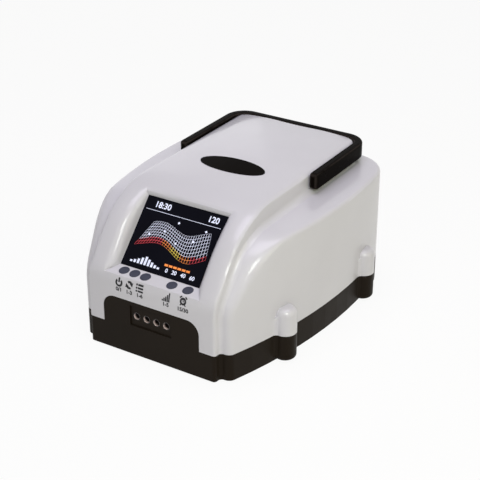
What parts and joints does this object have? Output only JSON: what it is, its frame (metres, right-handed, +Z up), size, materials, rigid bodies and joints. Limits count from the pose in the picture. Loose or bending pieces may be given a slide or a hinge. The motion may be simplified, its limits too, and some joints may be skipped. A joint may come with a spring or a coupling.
{
  "type": "compression therapy pump",
  "caption": "Table-top air compression therapy pump: bowed two-part housing, slanted display in a recess, round keys, a row of air sockets and a swinging U handle.",
  "frame": {"origin": "middle of the footprint, on the surface that the rubber feet stand on", "axes": "+X to the right as seen from the front, +Y from the nose face with the air sockets to the rear wall, +Z up"},
  "size_m": [0.2598, 0.302, 0.1604],
  "materials": {
    "shell_pearl": "satin pearl",
    "base_black": "satin",
    "gloss_black": "gloss",
    "window_dark": "gloss",
    "key_slate": "satin",
    "socket_metal": "satin",
    "rubber_black": "matte",
    "hose_clear": "satin",
    "board_green": "satin",
    "part_black": "matte",
    "steel": "satin",
    "alloy": "satin",
    "core_iron": "matte",
    "coil_copper": "satin",
    "valve_grey": "satin",
    "rotor_ivory": "satin",
    "filter_felt": "matte",
    "sleeve_blue": "satin",
    "tube_glass": "gloss",
    "transformer_tape": "matte",
    "contact_brass": "satin"
  },
  "bodies": {
    "case": {"lower_case": "base_black", "upper_case": "shell_pearl", "rubber_feet": "rubber_black", "case_screws": "steel", "display_window": "window_dark", "display_module": "part_black", "display_frame": "part_black", "display_board": "board_green", "control_board": "board_green", "tact_switches": "part_black", "buzzer": "part_black", "badge": "gloss_black", "handle_pin_left": "steel", "handle_pin_right": "steel", "pin_clips": "steel", "air_socket_1": "socket_metal", "air_socket_2": "socket_metal", "air_socket_3": "socket_metal", "air_socket_4": "socket_metal", "port_manifold": "part_black", "air_hose_1": "hose_clear", "air_hose_2": "hose_clear", "air_hose_3": "hose_clear", "air_hose_4": "hose_clear", "distributor_body": "valve_grey", "distributor_cover": "valve_grey", "distributor_motor": "alloy", "supply_hose": "hose_clear", "pump_plate": "steel", "pump_mounts": "rubber_black", "pump_head_left": "alloy", "pump_head_right": "alloy", "pump_core_front": "core_iron", "pump_core_rear": "core_iron", "pump_coil_front": "coil_copper", "pump_coil_rear": "coil_copper", "intake_filter": "filter_felt", "main_board": "board_green", "transformer": "transformer_tape", "power_capacitor": "sleeve_blue", "mains_fuse": "tube_glass", "pressure_sensor": "part_black", "mains_inlet": "part_black", "inlet_pins": "contact_brass"},
    "power_key": {"power_button": "key_slate"},
    "cycle_key": {"cycle_button": "key_slate"},
    "mode_key": {"mode_button": "key_slate"},
    "strength_key": {"strength_button": "key_slate"},
    "timer_key": {"timer_button": "key_slate"},
    "handle": {"handle": "gloss_black"},
    "rotor": {"distributor_rotor": "rotor_ivory"},
    "armature": {"pump_armature": "core_iron", "diaphragm_left": "rubber_black", "diaphragm_right": "rubber_black"}
  },
  "joints": [
    {"name": "power_press", "type": "slide", "parent": "case", "child": "power_key", "axis": [0, 0.2169, -0.9762], "range_m": [0, 0.0008], "stiffness_N_per_m": 1200},
    {"name": "cycle_press", "type": "slide", "parent": "case", "child": "cycle_key", "axis": [0, 0.2169, -0.9762], "range_m": [0, 0.0008], "stiffness_N_per_m": 1200},
    {"name": "mode_press", "type": "slide", "parent": "case", "child": "mode_key", "axis": [0, 0.2169, -0.9762], "range_m": [0, 0.0008], "stiffness_N_per_m": 1200},
    {"name": "strength_press", "type": "slide", "parent": "case", "child": "strength_key", "axis": [0, 0.2169, -0.9762], "range_m": [0, 0.0008], "stiffness_N_per_m": 1200},
    {"name": "timer_press", "type": "slide", "parent": "case", "child": "timer_key", "axis": [0, 0.2169, -0.9762], "range_m": [0, 0.0008], "stiffness_N_per_m": 1200},
    {"name": "handle_swing", "type": "hinge", "parent": "case", "child": "handle", "pos_m": [0, 0.038, 0.15], "axis": [1, 0, 0], "range_deg": [0, 95]},
    {"name": "rotor_turn", "type": "hinge", "parent": "case", "child": "rotor", "pos_m": [0.0004, -0.08, 0.0469], "axis": [0, 1, 0], "continuous": true},
    {"name": "armature_stroke", "type": "slide", "parent": "case", "child": "armature", "axis": [1, 0, 0], "range_m": [-0.0015, 0.0015], "stiffness_N_per_m": 8000}
  ]
}
